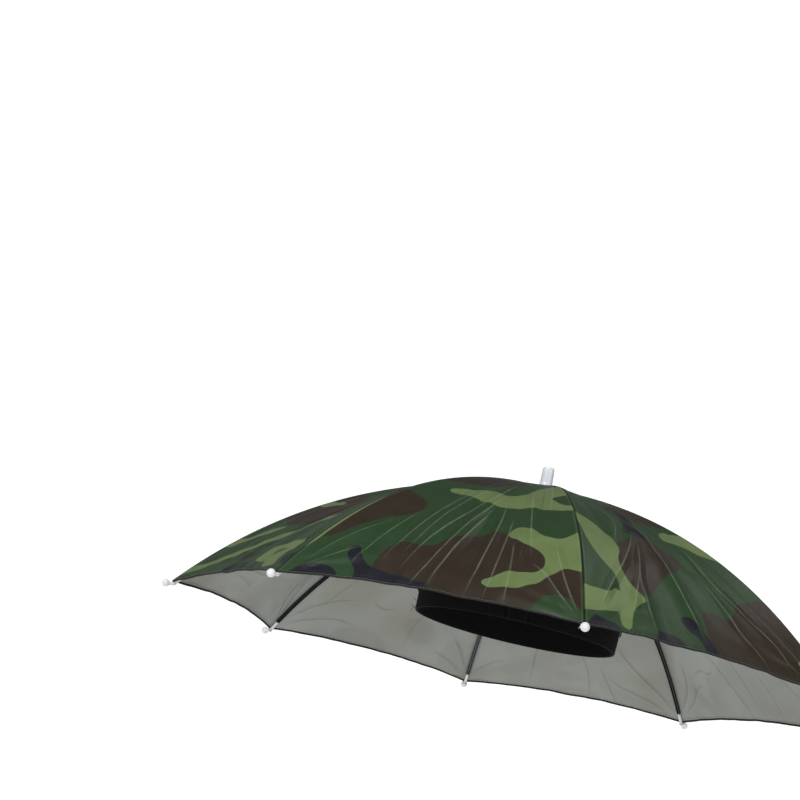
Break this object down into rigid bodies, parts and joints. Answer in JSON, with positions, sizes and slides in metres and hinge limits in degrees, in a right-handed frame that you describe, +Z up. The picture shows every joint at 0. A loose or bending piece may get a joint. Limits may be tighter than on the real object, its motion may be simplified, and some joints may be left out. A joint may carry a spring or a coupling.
{
  "type": "umbrella hat",
  "caption": "Camouflage umbrella hat: open gored canopy on a rib frame with ball tips and a crown cap, worn on an elastic headband.",
  "frame": {"origin": "centre of the headband's oval at the middle of its width, where a head holds the hat up", "axes": "+Z up along the crown's axis; -Y to the front, through the middle of the front gore; +X to the wearer's left as seen from above with the front towards -Y"},
  "size_m": [0.5692, 0.5692, 0.176],
  "materials": {
    "camouflage_cloth": "satin woven polyester with a printed woodland pattern outside and a silver-grey coat inside",
    "black_steel": "semi-gloss black",
    "white_plastic": "glossy white with a faint violet tint",
    "black_plastic": "matte black",
    "black_elastic": "matte ribbed woven elastic"
  },
  "bodies": {
    "root": {"gore_1": "camouflage_cloth", "gore_2": "camouflage_cloth", "gore_3": "camouflage_cloth", "gore_4": "camouflage_cloth", "gore_5": "camouflage_cloth", "gore_6": "camouflage_cloth", "gore_7": "camouflage_cloth", "gore_8": "camouflage_cloth", "crown_cap": "white_plastic", "stem": "black_steel", "hub": "black_plastic", "runner": "black_plastic", "rib_1": "black_steel", "rib_2": "black_steel", "rib_3": "black_steel", "rib_4": "black_steel", "rib_5": "black_steel", "rib_6": "black_steel", "rib_7": "black_steel", "rib_8": "black_steel", "stretcher_1": "black_steel", "stretcher_2": "black_steel", "stretcher_3": "black_steel", "stretcher_4": "black_steel", "stretcher_5": "black_steel", "stretcher_6": "black_steel", "stretcher_7": "black_steel", "stretcher_8": "black_steel", "rib_tip_1": "white_plastic", "rib_tip_2": "white_plastic", "rib_tip_3": "white_plastic", "rib_tip_4": "white_plastic", "rib_tip_5": "white_plastic", "rib_tip_6": "white_plastic", "rib_tip_7": "white_plastic", "rib_tip_8": "white_plastic", "headband": "black_elastic", "band_join": "black_elastic", "band_strap_1": "black_elastic", "band_strap_2": "black_elastic", "band_strap_3": "black_elastic", "band_strap_4": "black_elastic"}
  },
  "joints": []
}
